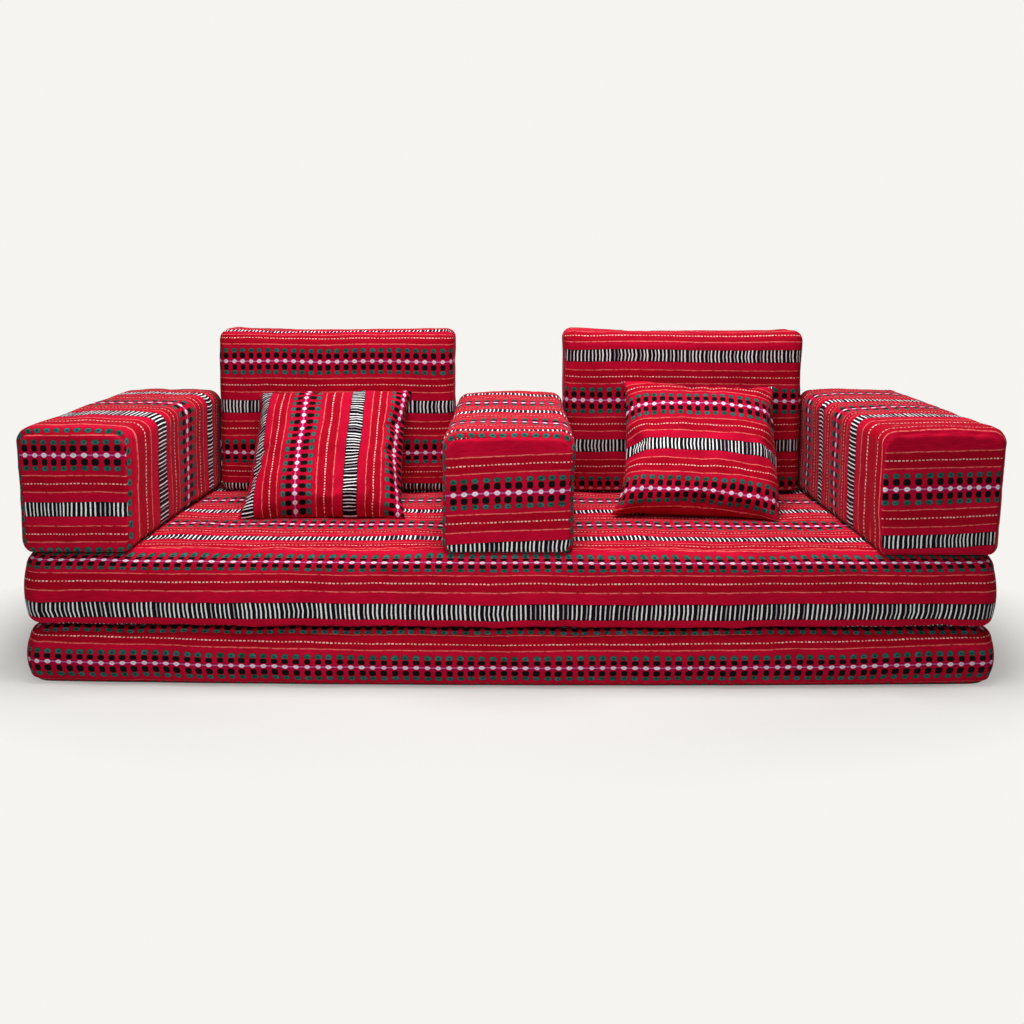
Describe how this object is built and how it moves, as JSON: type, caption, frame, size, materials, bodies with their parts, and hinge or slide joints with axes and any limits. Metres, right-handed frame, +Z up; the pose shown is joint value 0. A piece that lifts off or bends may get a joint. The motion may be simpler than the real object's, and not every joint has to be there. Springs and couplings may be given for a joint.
{
  "type": "majlis floor sofa",
  "caption": "Low floor sofa of loose zipped cushions: stacked mattresses, block arm bolsters between and beside the seats, upright back cushions and leaning pillows.",
  "frame": {"origin": "on the floor, at the centre of the mattresses' plan", "axes": "+X to the right as seen from the front, along the seat; +Y towards the back cushions; +Z up"},
  "size_m": [2.034, 0.731, 0.6954],
  "materials": {
    "woven_cloth": "red woven cloth with dotted, stitched and ladder-barred stripes",
    "foam": "open-cell cushion foam",
    "pillow_filling": "fibre filling",
    "zip_coil": "dark red nylon coil on woven tape",
    "zip_metal": "die-cast slider, satin antique brass"
  },
  "bodies": {
    "lower_mattress": {"lower_mattress_bottom_panel": "woven_cloth", "lower_mattress_boxing": "woven_cloth", "lower_mattress_foam": "foam", "lower_mattress_top_panel": "woven_cloth", "lower_mattress_zip_chain": "zip_coil"},
    "lower_mattress_zip_slider": {"lower_mattress_zip_slider": "zip_metal"},
    "lower_mattress_zip_pull": {"lower_mattress_zip_pull": "zip_metal"},
    "upper_mattress": {"upper_mattress_bottom_panel": "woven_cloth", "upper_mattress_boxing": "woven_cloth", "upper_mattress_foam": "foam", "upper_mattress_top_panel": "woven_cloth", "upper_mattress_zip_chain": "zip_coil"},
    "upper_mattress_zip_slider": {"upper_mattress_zip_slider": "zip_metal"},
    "upper_mattress_zip_pull": {"upper_mattress_zip_pull": "zip_metal"},
    "left_arm": {"left_arm_foam": "foam", "left_arm_front_panel": "woven_cloth", "left_arm_rear_panel": "woven_cloth", "left_arm_sleeve": "woven_cloth", "left_arm_zip_chain": "zip_coil"},
    "left_arm_zip_slider": {"left_arm_zip_slider": "zip_metal"},
    "left_arm_zip_pull": {"left_arm_zip_pull": "zip_metal"},
    "centre_arm": {"centre_arm_foam": "foam", "centre_arm_front_panel": "woven_cloth", "centre_arm_rear_panel": "woven_cloth", "centre_arm_sleeve": "woven_cloth", "centre_arm_zip_chain": "zip_coil"},
    "centre_arm_zip_slider": {"centre_arm_zip_slider": "zip_metal"},
    "centre_arm_zip_pull": {"centre_arm_zip_pull": "zip_metal"},
    "right_arm": {"right_arm_foam": "foam", "right_arm_front_panel": "woven_cloth", "right_arm_rear_panel": "woven_cloth", "right_arm_sleeve": "woven_cloth", "right_arm_zip_chain": "zip_coil"},
    "right_arm_zip_slider": {"right_arm_zip_slider": "zip_metal"},
    "right_arm_zip_pull": {"right_arm_zip_pull": "zip_metal"},
    "left_back": {"left_back_back_panel": "woven_cloth", "left_back_boxing": "woven_cloth", "left_back_foam": "foam", "left_back_front_panel": "woven_cloth", "left_back_zip_chain": "zip_coil"},
    "left_back_zip_slider": {"left_back_zip_slider": "zip_metal"},
    "left_back_zip_pull": {"left_back_zip_pull": "zip_metal"},
    "right_back": {"right_back_back_panel": "woven_cloth", "right_back_boxing": "woven_cloth", "right_back_foam": "foam", "right_back_front_panel": "woven_cloth", "right_back_zip_chain": "zip_coil"},
    "right_back_zip_slider": {"right_back_zip_slider": "zip_metal"},
    "right_back_zip_pull": {"right_back_zip_pull": "zip_metal"},
    "left_pillow": {"left_pillow_filling": "pillow_filling", "left_pillow_front_panel": "woven_cloth", "left_pillow_lower_back_flap": "woven_cloth", "left_pillow_upper_back_flap": "woven_cloth"},
    "right_pillow": {"right_pillow_filling": "pillow_filling", "right_pillow_front_panel": "woven_cloth", "right_pillow_lower_back_flap": "woven_cloth", "right_pillow_upper_back_flap": "woven_cloth"}
  },
  "joints": [
    {"name": "upper_mattress_lift", "type": "slide", "parent": "lower_mattress", "child": "upper_mattress", "axis": [0, 0, 1], "range_m": [0, 0.25]},
    {"name": "left_arm_lift", "type": "slide", "parent": "upper_mattress", "child": "left_arm", "axis": [0, 0, 1], "range_m": [0, 0.45]},
    {"name": "centre_arm_lift", "type": "slide", "parent": "upper_mattress", "child": "centre_arm", "axis": [0, 0, 1], "range_m": [0, 0.45]},
    {"name": "right_arm_lift", "type": "slide", "parent": "upper_mattress", "child": "right_arm", "axis": [0, 0, 1], "range_m": [0, 0.45]},
    {"name": "left_back_lift", "type": "slide", "parent": "upper_mattress", "child": "left_back", "axis": [0, 0, 1], "range_m": [0, 0.5]},
    {"name": "right_back_lift", "type": "slide", "parent": "upper_mattress", "child": "right_back", "axis": [0, 0, 1], "range_m": [0, 0.5]},
    {"name": "left_pillow_lift", "type": "slide", "parent": "upper_mattress", "child": "left_pillow", "axis": [0, 0, 1], "range_m": [0, 0.4]},
    {"name": "right_pillow_lift", "type": "slide", "parent": "upper_mattress", "child": "right_pillow", "axis": [0, 0, 1], "range_m": [0, 0.4]},
    {"name": "lower_mattress_zip_slide", "type": "slide", "parent": "lower_mattress", "child": "lower_mattress_zip_slider", "axis": [-1, 0, 0], "range_m": [0, 1.7784]},
    {"name": "lower_mattress_zip_pull_turn", "type": "hinge", "parent": "lower_mattress_zip_slider", "child": "lower_mattress_zip_pull", "pos_m": [0.8892, 0.35965, 0.056], "axis": [0, 0, -1], "range_deg": [0, 175]},
    {"name": "upper_mattress_zip_slide", "type": "slide", "parent": "upper_mattress", "child": "upper_mattress_zip_slider", "axis": [-1, 0, 0], "range_m": [0, 1.7784]},
    {"name": "upper_mattress_zip_pull_turn", "type": "hinge", "parent": "upper_mattress_zip_slider", "child": "upper_mattress_zip_pull", "pos_m": [0.8892, 0.35965, 0.1878], "axis": [0, 0, -1], "range_deg": [0, 175]},
    {"name": "left_arm_zip_slide", "type": "slide", "parent": "left_arm", "child": "left_arm_zip_slider", "axis": [0, -1, 0], "range_m": [0, 0.4184]},
    {"name": "left_arm_zip_pull_turn", "type": "hinge", "parent": "left_arm_zip_slider", "child": "left_arm_zip_pull", "pos_m": [-1.01465, 0.1492, 0.3236], "axis": [0, 0, -1], "range_deg": [0, 175]},
    {"name": "centre_arm_zip_slide", "type": "slide", "parent": "centre_arm", "child": "centre_arm_zip_slider", "axis": [0, -1, 0], "range_m": [0, 0.4184]},
    {"name": "centre_arm_zip_pull_turn", "type": "hinge", "parent": "centre_arm_zip_slider", "child": "centre_arm_zip_pull", "pos_m": [0.13665, 0.1492, 0.3236], "axis": [0, 0, 1], "range_deg": [0, 175]},
    {"name": "right_arm_zip_slide", "type": "slide", "parent": "right_arm", "child": "right_arm_zip_slider", "axis": [0, -1, 0], "range_m": [0, 0.4184]},
    {"name": "right_arm_zip_pull_turn", "type": "hinge", "parent": "right_arm_zip_slider", "child": "right_arm_zip_pull", "pos_m": [1.01465, 0.1492, 0.3236], "axis": [0, 0, 1], "range_deg": [0, 175]},
    {"name": "left_back_zip_slide", "type": "slide", "parent": "left_back", "child": "left_back_zip_slider", "axis": [-1, 0, 0], "range_m": [0, 0.3984]},
    {"name": "left_back_zip_pull_turn", "type": "hinge", "parent": "left_back_zip_slider", "child": "left_back_zip_pull", "pos_m": [-0.2513, 0.35465, 0.3696], "axis": [0, 0, -1], "range_deg": [0, 175]},
    {"name": "right_back_zip_slide", "type": "slide", "parent": "right_back", "child": "right_back_zip_slider", "axis": [-1, 0, 0], "range_m": [0, 0.3984]},
    {"name": "right_back_zip_pull_turn", "type": "hinge", "parent": "right_back_zip_slider", "child": "right_back_zip_pull", "pos_m": [0.6377, 0.35465, 0.3696], "axis": [0, 0, -1], "range_deg": [0, 175]}
  ]
}
